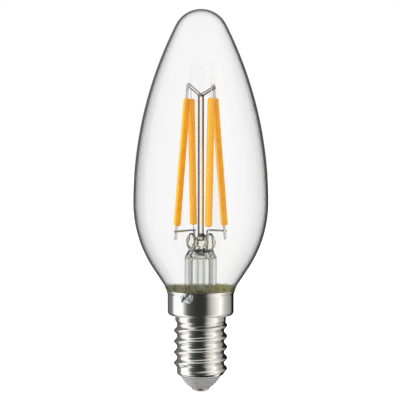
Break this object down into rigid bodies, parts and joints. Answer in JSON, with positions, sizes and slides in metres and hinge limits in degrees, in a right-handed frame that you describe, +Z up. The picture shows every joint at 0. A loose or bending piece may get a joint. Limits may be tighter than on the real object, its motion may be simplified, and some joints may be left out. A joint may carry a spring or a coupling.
{
  "type": "led filament light bulb",
  "caption": "Clear candle-shaped LED filament light bulb: upright yellow filaments round a glass cane and stem, on a nickel-plated small screw cap with a rolled thread.",
  "frame": {"origin": "centre of the flat of the centre contact, at the foot of the cap", "axes": "+Z up along the lamp's axis to the tip of the glass, -Y towards the picture's camera, +X to the right there"},
  "size_m": [0.035, 0.035, 0.099],
  "materials": {
    "clear_glass": "clear, smooth blown glass",
    "stem_glass": "clear worked glass with soft flame-rounded edges",
    "nickel_plate": "bright nickel plate with fine rolling marks",
    "insulator_plastic": "satin pale grey moulding",
    "tinned_contact": "bright tinned contact",
    "basing_cement": "matt olive-brown cured cement",
    "solder": "shiny solidified solder",
    "support_wire": "drawn nickel wire",
    "lead_wire": "drawn nickel-iron wire",
    "phosphor_silicone": "satin silicone filled with yellow phosphor",
    "carrier_strip": "matt white carrier",
    "led_chip": "glossy pale blue chip",
    "filament_tab": "stamped plated steel",
    "circuit_board": "green laminate",
    "capacitor_can": "sleeved aluminium can",
    "resistor_body": "lacquered ceramic body",
    "chip_package": "black moulding compound",
    "supply_wire": "tinned wire"
  },
  "bodies": {
    "root": {"glass_envelope": "clear_glass", "cap_shell": "nickel_plate", "insulator": "insulator_plastic", "contact_pin": "tinned_contact", "cement_ring": "basing_cement", "side_solder": "solder", "stem_flare": "stem_glass", "exhaust_tube": "stem_glass", "support_rod": "stem_glass", "top_wire": "support_wire", "left_lead": "lead_wire", "right_lead": "lead_wire", "rear_branch": "lead_wire", "front_branch": "lead_wire", "driver_board": "circuit_board", "smoothing_capacitor": "capacitor_can", "fuse_resistor": "resistor_body", "bridge_rectifier": "chip_package", "driver_chip": "chip_package", "live_wire": "supply_wire", "neutral_wire": "supply_wire", "filament_right_coat": "phosphor_silicone", "filament_right_strip": "carrier_strip", "filament_right_chips": "led_chip", "filament_right_foot_tab": "filament_tab", "filament_right_top_tab": "filament_tab", "filament_rear_coat": "phosphor_silicone", "filament_rear_strip": "carrier_strip", "filament_rear_chips": "led_chip", "filament_rear_foot_tab": "filament_tab", "filament_rear_top_tab": "filament_tab", "filament_left_coat": "phosphor_silicone", "filament_left_strip": "carrier_strip", "filament_left_chips": "led_chip", "filament_left_foot_tab": "filament_tab", "filament_left_top_tab": "filament_tab", "filament_front_coat": "phosphor_silicone", "filament_front_strip": "carrier_strip", "filament_front_chips": "led_chip", "filament_front_foot_tab": "filament_tab", "filament_front_top_tab": "filament_tab"}
  },
  "joints": []
}
